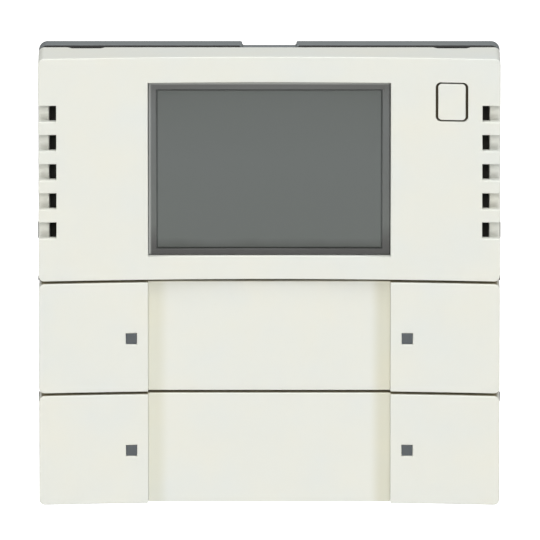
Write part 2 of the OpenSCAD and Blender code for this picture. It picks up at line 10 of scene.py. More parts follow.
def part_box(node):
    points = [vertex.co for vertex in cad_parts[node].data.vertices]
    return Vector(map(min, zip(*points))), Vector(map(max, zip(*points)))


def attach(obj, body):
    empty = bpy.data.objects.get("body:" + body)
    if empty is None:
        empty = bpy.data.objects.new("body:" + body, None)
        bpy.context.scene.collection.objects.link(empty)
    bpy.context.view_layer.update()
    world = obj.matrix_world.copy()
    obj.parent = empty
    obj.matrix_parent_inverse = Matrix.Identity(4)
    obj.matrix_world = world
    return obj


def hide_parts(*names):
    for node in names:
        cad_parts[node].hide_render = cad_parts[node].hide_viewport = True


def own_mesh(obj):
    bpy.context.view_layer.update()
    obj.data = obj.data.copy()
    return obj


mm = 0.001
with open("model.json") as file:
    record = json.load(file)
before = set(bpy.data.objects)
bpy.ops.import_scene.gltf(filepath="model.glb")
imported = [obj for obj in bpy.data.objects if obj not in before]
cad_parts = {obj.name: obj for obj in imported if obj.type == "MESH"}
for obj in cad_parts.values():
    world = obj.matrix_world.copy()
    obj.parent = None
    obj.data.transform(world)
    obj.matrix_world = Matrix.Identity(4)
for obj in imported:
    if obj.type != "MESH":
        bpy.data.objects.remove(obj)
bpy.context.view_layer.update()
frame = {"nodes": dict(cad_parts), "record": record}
nodes = frame["nodes"]
bodies = frame["record"]["behaviour"]["bodies"]
nodeBody = {member: body for body, members in bodies.items() for member in members}
nodeSlot = {part["node"]: part["material_slot"] for part in frame["record"]["subparts"]}
places = ["upper_left", "upper_right", "lower_left", "lower_right"]
print("frame loaded:", len(nodes), "nodes")


# Shader sums

noiseMean = 0.5  # of a noise texture
unevenLook = {"contrast": 1.6, "fine": 0.12, "cloud": 0.08}  # shares of the noise in tone and roughness


class Wire:  # a shader socket that can be added, multiplied and compared in plain Python
    def __init__(self, bench, socket):
        self.bench = bench
        self.socket = socket

    def __add__(self, other):
        return self.bench.sum("ADD", self, other)

    def __radd__(self, other):
        return self.bench.sum("ADD", other, self)

    def __sub__(self, other):
        return self.bench.sum("SUBTRACT", self, other)

    def __rsub__(self, other):
        return self.bench.sum("SUBTRACT", other, self)

    def __mul__(self, other):
        return self.bench.sum("MULTIPLY", self, other)

    def __rmul__(self, other):
        return self.bench.sum("MULTIPLY", other, self)

    def __truediv__(self, other):
        return self.bench.sum("DIVIDE", self, other)

    def __rtruediv__(self, other):
        return self.bench.sum("DIVIDE", other, self)

    def __gt__(self, other):
        return self.bench.sum("GREATER_THAN", self, other)

    def __lt__(self, other):
        return self.bench.sum("LESS_THAN", self, other)


class Bench:  # one material and the nodes that make it
    def __init__(self, name):
        self.material = bpy.data.materials.new(name)
        self.material.use_nodes = True
        self.tree = self.material.node_tree
        self.shader = self.tree.nodes["Principled BSDF"]

    def node(self, kind, settings, inputs, output=0):
        made = self.tree.nodes.new(kind)
        for key, value in settings.items():
            if key == "stops":
                while len(made.color_ramp.elements) < len(value):
                    made.color_ramp.elements.new(0.5)
                for stop, (position, shade) in zip(made.color_ramp.elements, value):
                    stop.position = position
                    stop.color = shade
            else:
                setattr(made, key, value)
        for key, value in inputs.items():
            if isinstance(value, Wire):
                self.tree.links.new(value.socket, made.inputs[key])
            else:
                made.inputs[key].default_value = value
        return Wire(self, made.outputs[output])

    def place(self):
        return self.node("ShaderNodeTexCoord", {}, {}, 3)

    def axis(self, index):
        return self.node("ShaderNodeSeparateXYZ", {}, {0: self.place()}, index)

    def noise(self, size, detail, stretch=(1, 1, 1)):
        where = self.node("ShaderNodeMapping", {}, {"Vector": self.place(), "Scale": stretch})
        return self.node("ShaderNodeTexNoise", {}, {"Vector": where, "Scale": 1 / size, "Detail": detail})

    def ramp(self, factor, stops):
        return self.node("ShaderNodeValToRGB", {"stops": stops}, {0: factor})

    def blend(self, kind, factor, first, second):
        settings = {"data_type": "RGBA", "blend_type": kind}
        return self.node("ShaderNodeMix", settings, {0: factor, 6: first, 7: second}, 2)

    def mix(self, factor, first, second):
        return self.blend("MIX", factor, first, second)

    def tinted(self, factor, base, tint):  # the base colour times the tint where the factor is 1
        return self.blend("MULTIPLY", factor, base, tint)

    def patches(self, cloud, warm, cool):  # two tones in soft patches
        return self.mix((cloud - noiseMean) * unevenLook["contrast"] + noiseMean, warm, cool)

    def uneven(self, roughness, fine, cloud):
        return (fine - noiseMean) * unevenLook["fine"] + (cloud - noiseMean) * unevenLook["cloud"] + roughness

    def sum(self, operation, first, second):
        return self.node("ShaderNodeMath", {"operation": operation}, {0: first, 1: second})

    def rise(self, value, start, stop):  # 0 before start, 1 after stop
        limits = {"Value": value, "From Min": start, "From Max": stop}
        return self.node("ShaderNodeMapRange", {"interpolation_type": "SMOOTHSTEP"}, limits)

    def near(self, value, place, reach):  # 1 within a distance of a place
        return self.sum("ABSOLUTE", value - place, 0.0) < reach

    def bump(self, height, depth, strength):
        return self.node("ShaderNodeBump", {}, {"Height": height, "Distance": depth, "Strength": strength})

    def finish(self, varying, fixed):
        for key, value in varying.items():
            self.tree.links.new(value.socket, self.shader.inputs[key])
        for key, value in fixed.items():
            self.shader.inputs[key].default_value = value
        return self.material


def tone(red, green, blue):  # an sRGB colour of 0 to 255 as a linear one
    linear = []
    for part in (red, green, blue):
        part = part / 255
        linear.append(part / 12.92 if part <= 0.04045 else ((part + 0.055) / 1.055) ** 2.4)
    return (*linear, 1)


def grey(level):
    return (level, level, level, 1)


# Materials

def mouldedPlastic(look):
    bench = Bench(look["name"])
    cloud = bench.noise(look["patch"] * mm, 3.0)
    fine = bench.noise(look["grain"] * mm, 1.0)
    speck = bench.noise(look["grain"] * look["speckScale"] * mm, 2.0)
    height = fine * look["fineShare"] + speck * (1 - look["fineShare"])
    return bench.finish(
        {"Base Color": bench.patches(cloud, look["warm"], look["cool"]),
         "Roughness": bench.uneven(look["roughness"], fine, cloud),
         "Normal": bench.bump(height, look["depth"] * mm, look["strength"])},
        {"Specular IOR Level": look["sheen"]},
    )


def ivoryMaterial(look):
    bench = Bench("ivoryPlastic")
    cloud = bench.noise(look["patch"] * mm, 3.0)
    fine = bench.noise(look["grain"] * mm, 1.0)
    speck = bench.noise(look["speck"] * mm, 2.0)
    x, y, z = bench.axis(0) / mm, bench.axis(1) / mm, bench.axis(2) / mm
    base = bench.patches(cloud, look["warm"], look["cool"])
    # the label fields lie below the wings; painted shade darkens and warms their ends
    side = bench.sum("ABSOLUTE", x, 0.0)
    between = (y > look["fieldFront"]) * (y < look["fieldBack"])
    inField = (side < look["fieldEnd"]) * (z < look["split"]) * between
    end = bench.rise(side, look["fieldEnd"] - look["shadeReach"], look["fieldEnd"] - look["shadeFlat"])
    paintedEndShade = bench.mix(x > 0.0, look["leftPaintedShade"], look["rightPaintedShade"])
    # painted shade at the field ends, tinted by which side of the middle they lie on
    shaded = bench.tinted(end * inField, base, paintedEndShade)
    # painted shade: the walls of the narrow gaps are darkened to the warm colour of light that has crossed
    # the plastic
    upperGap = bench.near(z, look["split"], look["gapReach"])
    lowerGap = bench.near(z, look["split"] - look["pitch"], look["gapReach"])
    surface = look["axis"] + bench.sum("SQRT", look["radius"] ** 2 - x * x, 0.0)
    surface = surface + inField * (look["fieldFront"] - surface)
    deep = bench.rise(y - surface, look["gapTop"], look["gapDeep"])
    paintedGapShade = bench.tinted(deep * (upperGap + lowerGap), shaded, look["gapPaintedShade"])
    # painted shade: the walls of the gap around the key are darkened
    besideKey = bench.near(x, look["keyX"], look["keyHalfW"]) * bench.near(z, look["keyZ"], look["keyHalfH"])
    height = fine * look["fineShare"] + speck * (1 - look["fineShare"])
    return bench.finish(
        {"Base Color": bench.tinted(deep * besideKey, paintedGapShade, look["keyPaintedShade"]),
         "Roughness": bench.uneven(look["roughness"], fine, cloud),
         "Normal": bench.bump(height, look["depth"] * mm, look["strength"])},
        {"Specular IOR Level": look["sheen"]},
    )


def blackMaterial(look):  # painted shade: darker on the upper rim, which lies open to the light
    bench = Bench("blackPlastic")
    cloud = bench.noise(look["patch"] * mm, 3.0)
    fine = bench.noise(look["grain"] * mm, 1.0)
    inside = bench.patches(cloud, look["warm"], look["cool"])
    return bench.finish(
        {"Base Color": bench.mix(bench.axis(2) > look["rimHeight"] * mm, inside, look["paintedRimTone"]),
         "Roughness": bench.uneven(look["roughness"], fine, cloud),
         "Normal": bench.bump(fine, look["depth"] * mm, look["strength"])},
        {"Specular IOR Level": look["sheen"]},
    )


def workedMetal(look):
    bench = Bench(look["name"])
    lines = bench.noise(look["grain"] * mm, 4.0, look["stretch"])
    cloud = bench.noise(look["patch"] * mm, 2.0)
    mottle = lines * look["lineShare"] + cloud * (1 - look["lineShare"])
    wear = (lines - noiseMean) * look["lineWear"] + (cloud - noiseMean) * look["patchWear"]
    return bench.finish(
        {"Base Color": bench.mix(mottle, look["dark"], look["light"]), "Roughness": wear + look["roughness"],
         "Normal": bench.bump(lines, look["depth"] * mm, look["strength"])},
        {"Metallic": 1.0},
    )


def paintedHeightShade(bench, look, cloud):  # painted shade: a tone that changes with the height in the window, darker towards the bottom
    low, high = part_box("display_bezel")
    height = (bench.axis(2) - low.z) / (high.z - low.z)
    return bench.ramp(height + (cloud - noiseMean) * look["waver"], look["shade"])


def displayMaterial(look):
    bench = Bench("unlitDisplay")
    cloud = bench.noise(look["patch"] * mm, 2.0)
    cells = bench.node("ShaderNodeTexVoronoi", {}, {
        "Vector": bench.place(), "Scale": 1 / (look["cell"] * mm),
    })
    shade = paintedHeightShade(bench, look, cloud)
    colour = bench.mix(cells * look["cellShare"] + cloud * look["patchShare"], shade, look["cast"])
    return bench.finish(
        {"Base Color": colour, "Roughness": (cloud - noiseMean) * look["wear"] + look["roughness"],
         "Normal": bench.bump(cloud, look["depth"] * mm, look["strength"])},
        {"Coat Weight": look["coat"], "Coat Roughness": look["coatRoughness"],
         "Specular IOR Level": look["sheen"]},
    )


def bezelMaterial(look):
    low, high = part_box("display_bezel")
    bench = Bench("bezelGrey")
    cloud = bench.noise(look["patch"] * mm, 3.0)
    fine = bench.noise(look["grain"] * mm, 1.0)
    middleTone = bench.mix(fine * look["grainShare"], paintedHeightShade(bench, look, cloud), look["cast"])
    # painted highlight: the left and upper rims are paler
    fromSide = (bench.axis(0) - low.x) / mm - look["hidden"]
    fromTop = (high.z - bench.axis(2)) / mm - look["hidden"]
    inward = bench.sum("MINIMUM", fromSide, fromTop * look["rimTaper"])
    rim = 1.0 - bench.rise(inward, 0.0, look["rimReach"])
    return bench.finish(
        {"Base Color": bench.mix(rim * look["rimHighlightShare"], middleTone, look["paintedRimTone"]),
         "Roughness": (fine - noiseMean) * look["wear"] + look["roughness"],
         "Normal": bench.bump(fine, look["depth"] * mm, look["strength"])},
        {"Specular IOR Level": look["sheen"]},
    )


def boardMaterial(look):
    bench = Bench("boardLaminate")
    weave = bench.noise(look["weave"] * mm, 1.0)
    flat = bench.node("ShaderNodeMapping", {}, {"Vector": bench.place(), "Rotation": (math.pi / 2, 0, 0)})
    tracks = bench.node("ShaderNodeTexBrick", {"offset": look["trackShift"]}, {
        "Vector": flat, "Scale": 1 / (look["trackField"] * mm), "Mortar Size": look["trackLine"],
        "Brick Width": look["trackLength"], "Row Height": look["trackPitch"],
    }, 1)
    mask = bench.mix(tracks, look["mask"], look["overCopper"])
    return bench.finish(
        {"Base Color": bench.mix(weave * look["weaveShare"], mask, look["shadow"]),
         "Roughness": look["roughness"] + weave * look["wear"],
         "Normal": bench.bump(tracks + weave * look["weaveHeight"], look["depth"] * mm, look["strength"])},
        {"Coat Weight": look["coat"], "Coat Roughness": look["coatRoughness"]},
    )


def windowMaterial(look):
    bench = Bench("smokedWindow")
    cloud = bench.noise(look["patch"] * mm, 2.0)
    return bench.finish(
        {"Base Color": bench.mix(cloud, look["dark"], look["light"]),
         "Roughness": look["roughness"] + cloud * look["wear"],
         "Normal": bench.bump(cloud, look["depth"] * mm, look["strength"])},
        {"Coat Weight": look["coat"], "Coat Roughness": look["coatRoughness"],
         "Specular IOR Level": look["sheen"]},
    )


def clearMaterial(look):
    bench = Bench("frostedAcrylic")
    frost = bench.noise(look["grain"] * mm, 3.0)
    return bench.finish(
        {"Base Color": bench.mix(frost, look["dark"], look["light"]),
         "Roughness": look["roughness"] + frost * look["wear"],
         "Normal": bench.bump(frost, look["depth"] * mm, look["strength"])},
        {"Transmission Weight": look["transmission"], "IOR": look["ior"]},
    )


def rubberMaterial(look):
    bench = Bench("contactRubber")
    layers = bench.node("ShaderNodeTexWave", {"bands_direction": "X"}, {
        "Vector": bench.place(), "Scale": 1 / (look["layer"] * mm),
        "Distortion": look["waver"], "Detail": 1.0,
    }, 1)
    dust = bench.noise(look["grain"] * mm, 3.0)
    return bench.finish(
        {"Base Color": bench.mix(layers, look["insulating"], look["conducting"]),
         "Roughness": look["roughness"] + dust * look["wear"],
         "Normal": bench.bump(layers + dust * look["dustHeight"], look["depth"] * mm, look["strength"])},
        {},
    )


coverLow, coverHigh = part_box("display_cover")
fieldLow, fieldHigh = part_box("upper_label_field")
keyLow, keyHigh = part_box("function_key")
proudest = coverLow.y / mm
dishLook = {"halfWidth": 31.5, "rise": 1.5, "reach": 0.03, "facing": 0.998}
dishRadius = (dishLook["halfWidth"] ** 2 + dishLook["rise"] ** 2) / (2 * dishLook["rise"])
dishAxis = proudest + dishLook["rise"] - dishRadius
splitGap = 0.38
ivoryLook = {  # lengths in mm
    "warm": tone(236, 235, 224), "cool": tone(230, 233, 229), "roughness": 0.42, "sheen": 0.35,
    "patch": 9, "grain": 0.16, "speck": 0.5, "fineShare": 0.6, "depth": 0.006, "strength": 0.35,
    # painted shade: tints for the ends of the label fields
    "leftPaintedShade": (0.90, 0.89, 0.83, 1), "rightPaintedShade": (0.87, 0.85, 0.77, 1),
    "shadeFlat": 1.1, "shadeReach": 3.0, "fieldEnd": fieldHigh.x / mm + 0.01,
    "fieldFront": fieldLow.y / mm - 0.05, "fieldBack": fieldLow.y / mm + 1.0,
    # painted shade: the tint and the depths for the walls of the gaps between the rockers
    "gapPaintedShade": (0.50, 0.44, 0.32, 1), "gapReach": 0.3, "gapTop": 0.1, "gapDeep": 0.7,
    "split": fieldHigh.z / mm + splitGap / 2, "pitch": 15.78,
    # painted shade: the tint for the walls around the key
    "keyPaintedShade": (0.12, 0.09, 0.05, 1), "keyHalfW": 2.35, "keyHalfH": 2.85,
    "keyX": (keyLow.x + keyHigh.x) / 2 / mm, "keyZ": (keyLow.z + keyHigh.z) / 2 / mm,
    "radius": dishRadius, "axis": dishAxis,
}
blackLook = {
    "warm": tone(66, 65, 58), "cool": tone(56, 57, 53), "roughness": 0.55, "sheen": 0.3,
    "patch": 5, "grain": 0.18, "depth": 0.015, "strength": 0.4,
    # painted shade: the upper rim is given a darker tone
    "rimHeight": coverHigh.z / mm - 1.2, "paintedRimTone": tone(12, 12, 11),
}
displayLook = {
    # painted shade: the display is darker towards the bottom of the window
    "shade": [(0.0, tone(88, 91, 87)), (0.075, tone(88, 92, 88)), (0.12, tone(104, 109, 106)),
              (0.55, tone(105, 110, 108)), (1.0, tone(100, 105, 102))],
    "cast": tone(106, 107, 110), "waver": 0.03,
    "patch": 5, "patchShare": 0.25, "cell": 0.34, "cellShare": 0.05,
    "roughness": 0.34, "wear": 0.06, "depth": 0.01, "strength": 0.1,
    "coat": 0.06, "coatRoughness": 0.2, "sheen": 0.22,
}
bezelLook = {
    # painted shade: the bezel is darker towards the bottom of the window
    "shade": [(0.0, tone(76, 76, 76)), (0.08, tone(80, 80, 79)), (0.2, tone(104, 107, 105)),
              (0.8, tone(107, 110, 110)), (1.0, tone(102, 103, 102))],
    "cast": tone(118, 118, 116), "waver": 0.03, "patch": 3, "grain": 0.22, "grainShare": 0.12,
    "roughness": 0.48, "wear": 0.1, "depth": 0.008, "strength": 0.4, "sheen": 0.35,
    # painted highlight: a paler tone on the left and upper rims
    "hidden": 0.8, "rimReach": 0.42, "rimTaper": 1.3, "rimHighlightShare": 0.9, "paintedRimTone": tone(186, 188, 186),
}
boardLook = {
    "mask": tone(20, 88, 52), "overCopper": tone(46, 128, 78), "shadow": tone(14, 70, 44),
    "weave": 0.4, "weaveShare": 0.25, "weaveHeight": 0.3,
    "trackField": 6, "trackShift": 0.37, "trackLine": 0.035, "trackLength": 1.4, "trackPitch": 0.28,
    "roughness": 0.26, "wear": 0.12, "depth": 0.03, "strength": 0.5, "coat": 0.3, "coatRoughness": 0.15,
}
windowLook = {
    "dark": tone(86, 91, 95), "light": tone(94, 99, 102), "patch": 0.8, "roughness": 0.3, "wear": 0.1,
    "depth": 0.01, "strength": 0.2, "coat": 0.12, "coatRoughness": 0.15, "sheen": 0.3,
}
clearLook = {
    "dark": tone(226, 233, 236), "light": tone(244, 247, 248), "grain": 0.18, "roughness": 0.22, "wear": 0.3,
    "depth": 0.01, "strength": 0.4, "transmission": 0.5, "ior": 1.49,
}
rubberLook = {
    "insulating": tone(156, 98, 102), "conducting": tone(58, 50, 52), "layer": 1.6, "waver": 0.4,
    "grain": 0.3, "dustHeight": 0.4, "roughness": 0.6, "wear": 0.25, "depth": 0.02, "strength": 0.5,
}
plainPlastic = {"speckScale": 3.1, "fineShare": 0.6, "sheen": 0.4, "strength": 0.5}
plasticLooks = {
    "housing_grey": {
        "name": "housingGrey", "warm": tone(124, 128, 129), "cool": tone(116, 122, 125),
        "roughness": 0.58, "grain": 0.2, "depth": 0.02, "patch": 7,
    },
    "chip_black": {
        "name": "chipBlack", "warm": tone(34, 35, 37), "cool": tone(24, 25, 28),
        "roughness": 0.6, "grain": 0.12, "depth": 0.01, "patch": 2,
    },
    "lamp_white": {
        "name": "lampWhite", "warm": tone(240, 238, 224), "cool": tone(230, 232, 228),
        "roughness": 0.35, "grain": 0.1, "depth": 0.004, "patch": 1, "sheen": 0.5, "strength": 0.35,
    },
    "sensor_bead": {
        "name": "sensorBead", "warm": tone(54, 46, 40), "cool": tone(38, 33, 30),
        "roughness": 0.22, "grain": 0.3, "depth": 0.01, "patch": 1, "sheen": 0.5, "strength": 0.35,
    },
}
plainMetal = {"patch": 2.5, "lineShare": 0.7, "lineWear": 0.22, "patchWear": 0.1, "strength": 0.4}
metalLooks = {
    "spring_steel": {
        "name": "springSteel", "light": tone(198, 199, 202), "dark": tone(150, 152, 157),
        "roughness": 0.3, "grain": 0.5, "stretch": (1, 1, 0.12), "depth": 0.01,
    },
    "switch_steel": {
        "name": "switchSteel", "light": tone(208, 208, 209), "dark": tone(168, 170, 174),
        "roughness": 0.34, "grain": 0.3, "stretch": (0.2, 1, 1), "depth": 0.008,
    },
    "screw_steel": {
        "name": "screwSteel", "light": tone(194, 196, 198), "dark": tone(146, 149, 154),
        "roughness": 0.3, "grain": 0.35, "stretch": (1, 0.15, 1), "depth": 0.01,
    },
    "capacitor_can": {
        "name": "capacitorCan", "light": tone(92, 98, 128), "dark": tone(56, 62, 90),
        "roughness": 0.36, "grain": 0.4, "stretch": (1, 0.1, 1), "depth": 0.006,
    },
    "pin_gold": {
        "name": "pinGold", "light": tone(232, 198, 118), "dark": tone(196, 158, 84),
        "roughness": 0.24, "grain": 0.3, "stretch": (1, 0.1, 1), "depth": 0.004,
    },
}
finishes = {
    "ivory_plastic": ivoryMaterial(ivoryLook),
    "black_plastic": blackMaterial(blackLook),
    "bezel_grey": bezelMaterial(bezelLook),
    "display_glass": displayMaterial(displayLook),
    "smoked_window": windowMaterial(windowLook),
    "clear_acrylic": clearMaterial(clearLook),
    "board_laminate": boardMaterial(boardLook),
    "contact_rubber": rubberMaterial(rubberLook),
}
for slotName, look in plasticLooks.items():
    finishes[slotName] = mouldedPlastic({**plainPlastic, **look})
for slotName, look in metalLooks.items():
    finishes[slotName] = workedMetal({**plainMetal, **look})
print("materials made:", len(finishes))


# Meshes

def plainMesh(piece):  # the piece with its modifiers applied
    bpy.context.view_layer.update()
    graph = bpy.context.evaluated_depsgraph_get()
    finished = piece.evaluated_get(graph)
    mesh = bpy.data.meshes.new_from_object(finished, preserve_all_data_layers=True, depsgraph=graph)
    piece.modifiers.clear()
    old = piece.data
    piece.data = mesh
    bpy.data.meshes.remove(old)
    return piece


def addPiece(name, mesh):
    piece = bpy.data.objects.new(name, mesh)
    bpy.context.scene.collection.objects.link(piece)
    return piece


def settle(piece, *replaced):  # rides on its node's body, wears its slot's finish and stands for it
    node = replaced[0]
    slotName = nodeSlot[node]
    piece.data.materials.clear()
    piece.data.materials.append(finishes[slotName])
    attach(piece, nodeBody[node])
    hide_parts(*replaced)
    return piece


softenLook = {"merge": 0.001, "flat": 0.05, "sharpest": 24, "segments": 3, "evenWeight": 60}  # mm and degrees


def softened(name, shape, roundings, segments=softenLook["segments"], flat=softenLook["flat"]):
    # shape is a filled bmesh; roundings gives an edge's rounding in mm from its middle, in mm
    bmesh.ops.remove_doubles(shape, verts=shape.verts, dist=softenLook["merge"] * mm)
    bmesh.ops.dissolve_limit(shape, angle_limit=math.radians(flat), verts=shape.verts, edges=shape.edges)
    shape.normal_update()
    layers = shape.edges.layers.float
    weights = layers.get("bevel_weight_edge") or layers.new("bevel_weight_edge")
    widths = {}
    for edge in shape.edges:
        edge.smooth = True
        if len(edge.link_faces) != 2 or math.degrees(edge.calc_face_angle()) < softenLook["sharpest"]:
            continue
        middle = (edge.verts[0].co + edge.verts[1].co) / 2 / mm
        width = roundings(middle, edge)
        if width > 0:
            widths[edge] = width
        else:
            edge.smooth = False
    widest = max(widths.values(), default=1.0)
    for edge, width in widths.items():
        edge[weights] = width / widest
    for face in shape.faces:
        face.smooth = True
    mesh = bpy.data.meshes.new(name)
    shape.to_mesh(mesh)
    shape.free()
    piece = addPiece(name, mesh)
    if widths:
        rounding = piece.modifiers.new("rounding", "BEVEL")
        rounding.limit_method = "WEIGHT"
        rounding.width = widest * mm
        rounding.segments = segments
        rounding.use_clamp_overlap = False
        rounding.miter_outer = "MITER_SHARP"
    even = piece.modifiers.new("even", "WEIGHTED_NORMAL")
    even.keep_sharp = True
    even.weight = softenLook["evenWeight"]
    return plainMesh(piece)


def cadShape(node):
    shape = bmesh.new()
    shape.from_mesh(nodes[node].data)
    return shape


def convexOnly(width):
    return lambda middle, edge: width if edge.is_convex else 0


# Repeated and rule-shaped pieces

class Grove:  # one geometry tree, its named inputs and its nodes
    def __init__(self, name, inputs):
        self.tree = bpy.data.node_groups.new(name, "GeometryNodeTree")
        self.tree.interface.new_socket("Geometry", in_out="OUTPUT", socket_type="NodeSocketGeometry")
        for label, kind in inputs:
            self.tree.interface.new_socket(label, in_out="INPUT", socket_type="NodeSocket" + kind)
        self.entry = self.tree.nodes.new("NodeGroupInput")
        self.exit = self.tree.nodes.new("NodeGroupOutput")

    def node(self, kind, settings, inputs, output=0):
        made = self.tree.nodes.new(kind)
        for key, value in settings.items():
            setattr(made, key, value)
        for key, value in inputs.items():
            if isinstance(value, bpy.types.NodeSocket):
                self.tree.links.new(value, made.inputs[key])
            else:
                made.inputs[key].default_value = value
        return made.outputs[output]

    def given(self, label):
        return self.entry.outputs[label]

    def end(self, geometry):
        real = self.node("GeometryNodeRealizeInstances", {}, {0: geometry})
        worn = self.node("GeometryNodeSetMaterial", {}, {0: real, "Material": self.given("Finish")})
        self.tree.links.new(worn, self.exit.inputs[0])
        return self.tree


def grown(name, tree, values):  # a plain mesh from a geometry tree
    piece = addPiece(name, bpy.data.meshes.new(name))
    growth = piece.modifiers.new("growth", "NODES")
    growth.node_group = tree
    identifiers = {item.name: item.identifier for item in tree.interface.items_tree if item.in_out == "INPUT"}
    for label, value in values.items():
        growth[identifiers[label]] = value
    return plainMesh(piece)


def coilTree():
    grove = Grove("coilSpring", [
        ("Radius", "Float"), ("Wire", "Float"), ("Length", "Float"), ("Turns", "Float"),
        ("Start", "Vector"), ("Finish", "Material"),
    ])
    path = grove.node("GeometryNodeCurveSpiral", {}, {
        "Resolution": 28, "Rotations": grove.given("Turns"), "Start Radius": grove.given("Radius"),
        "End Radius": grove.given("Radius"), "Height": grove.given("Length"),
    })
    section = grove.node("GeometryNodeCurvePrimitiveCircle", {"mode": "RADIUS"}, {
        "Resolution": 10, "Radius": grove.given("Wire"),
    })
    wire = grove.node("GeometryNodeCurveToMesh", {}, {
        "Curve": path, "Profile Curve": section, "Fill Caps": True,
    })
    laid = grove.node("GeometryNodeTransform", {}, {
        "Geometry": wire, "Translation": grove.given("Start"), "Rotation": (-math.pi / 2, 0, 0),
    })
    return grove.end(grove.node("GeometryNodeSetShadeSmooth", {}, {0: laid}))


def gridTree():
    grove = Grove("repeatedPieces", [
        ("Columns", "Int"), ("Rows", "Int"), ("Width", "Float"), ("Height", "Float"),
        ("Centre", "Vector"), ("Piece", "Object"), ("Finish", "Material"),
    ])
    lattice = grove.node("GeometryNodeMeshGrid", {}, {
        "Size X": grove.given("Width"), "Size Y": grove.given("Height"),
        "Vertices X": grove.given("Columns"), "Vertices Y": grove.given("Rows"),
    })
    upright = grove.node("GeometryNodeTransform", {}, {
        "Geometry": lattice, "Translation": grove.given("Centre"), "Rotation": (math.pi / 2, 0, 0),
    })
    model = grove.node("GeometryNodeObjectInfo", {}, {"Object": grove.given("Piece")}, "Geometry")
    copies = grove.node("GeometryNodeInstanceOnPoints", {}, {"Points": upright, "Instance": model})
    return grove.end(copies)


springTree = coilTree()
latticeTree = gridTree()


def repeated(name, model, columns, rows, width, height, centre, finish):
    return grown(name, latticeTree, {
        "Columns": columns, "Rows": rows, "Width": width, "Height": height,
        "Centre": centre, "Piece": model, "Finish": finish,
    })


def lathe(name, profile, steps, width):
    # profile: (radius, y) pairs in mm, turned about the Y axis
    shape = bmesh.new()
    rings = []
    for radius, depth in profile:
        if radius == 0:
            rings.append([shape.verts.new((0, depth * mm, 0))])
        else:
            rings.append([
                shape.verts.new((radius * mm * math.cos(turn), depth * mm, radius * mm * math.sin(turn)))
                for turn in (2 * math.pi * step / steps for step in range(steps))
            ])
    for first, second in zip(rings, rings[1:]):
        for step in range(steps):
            after = (step + 1) % steps
            corners = [first[step % len(first)], first[after % len(first)]]
            corners += [second[after % len(second)], second[step % len(second)]]
            shape.faces.new(list(dict.fromkeys(corners)))
    bmesh.ops.recalc_face_normals(shape, faces=shape.faces)
    return softened(name, shape, convexOnly(width))


# Ivory front: cover, rockers, label fields and key

frontLook = {  # roundings and the zones they are used in, in mm; flat is in degrees
    "edge": 0.16, "openingEdge": 0.14, "keyEdge": 0.06, "rearEdge": 0.12, "pressedEdge": 0.1,
    "cornerZone": 1.0, "frontZone": 2.3, "openingZone": 3.2, "rearZone": 1.1, "keyZone": 3.6,
    "fieldZone": 1.0, "fieldDepth": 0.1, "level": 0.9, "flat": 0.12,
}


def dished(piece):  # exact normals on the hollow front, part of a wide cylinder about an upright axis
    mesh = piece.data
    normals = [corner.vector.copy() for corner in mesh.corner_normals]
    for face in mesh.polygons:
        for loop in face.loop_indices:
            spot = mesh.vertices[mesh.loops[loop].vertex_index].co / mm
            inward = Vector((-spot.x, dishAxis - spot.y, 0))
            if abs(inward.length - dishRadius) < dishLook["reach"]:
                inward.normalize()
                if inward.dot(face.normal) > dishLook["facing"]:
                    normals[loop] = inward
    mesh.normals_split_custom_set(normals)
    return piece


def coverRounding(middle, edge):
    high = coverHigh / mm
    zone = frontLook["cornerZone"]
    if not edge.is_convex:
        return 0
    nearSide = high.x - abs(middle.x) < zone
    nearTop = high.z - middle.z < zone
    nearSplit = abs(middle.z - ivoryLook["split"]) < zone
    inFront = middle.y < proudest + frontLook["frontZone"]
    if nearSplit or inFront and (nearSide or nearTop):
        return frontLook["edge"]
    if middle.y < proudest + frontLook["openingZone"]:
        fromKey = max(abs(middle.x - ivoryLook["keyX"]), abs(middle.z - ivoryLook["keyZ"]))
        return frontLook["keyEdge"] if fromKey < frontLook["keyZone"] else frontLook["openingEdge"]
    return frontLook["rearEdge"]


cover = dished(softened("displayCover", cadShape("display_cover"), coverRounding, flat=frontLook["flat"]))
settle(cover, "display_cover")


def rockerRounding(middle, edge):
    if not edge.is_convex:
        return 0
    side = coverHigh.x / mm - abs(middle.x) < frontLook["rearZone"]
    inFront = middle.y < proudest + frontLook["frontZone"]
    return frontLook["edge"] if inFront or side else frontLook["rearEdge"]


def fieldRounding(middle, edge):  # only the long front edges, at the gap lines
    along = (edge.verts[0].co - edge.verts[1].co).normalized()
    atFront = middle.y < fieldLow.y / mm + frontLook["fieldDepth"]
    level = abs(along.x) > frontLook["level"] and abs(middle.x) < frontLook["fieldZone"]
    return frontLook["edge"] if level and atFront else 0


for row in ("upper", "lower"):
    rocker = softened(row + "Rocker", cadShape(row + "_rocker"), rockerRounding, flat=frontLook["flat"])
    settle(dished(rocker), row + "_rocker")
    field = softened(row + "LabelField", cadShape(row + "_label_field"), fieldRounding)
    settle(field, row + "_label_field")

key = softened("functionKey", cadShape("function_key"), convexOnly(frontLook["pressedEdge"]))
settle(key, "function_key")
print("ivory front made")

# Display and windows
glassEdges = {"display_bezel": 0.14, "lcd_cell": 0.1, "status_window": 0.1}
bezel = softened("displayBezel", cadShape("display_bezel"), convexOnly(glassEdges["display_bezel"]))
settle(bezel, "display_bezel")
cell = softened("displayCell", cadShape("lcd_cell"), convexOnly(glassEdges["lcd_cell"]))
settle(cell, "lcd_cell")
for place in places:
    node = "status_window_" + place
    settle(softened("statusWindow." + place, cadShape(node), convexOnly(glassEdges["status_window"])), node)
print("display and windows made")

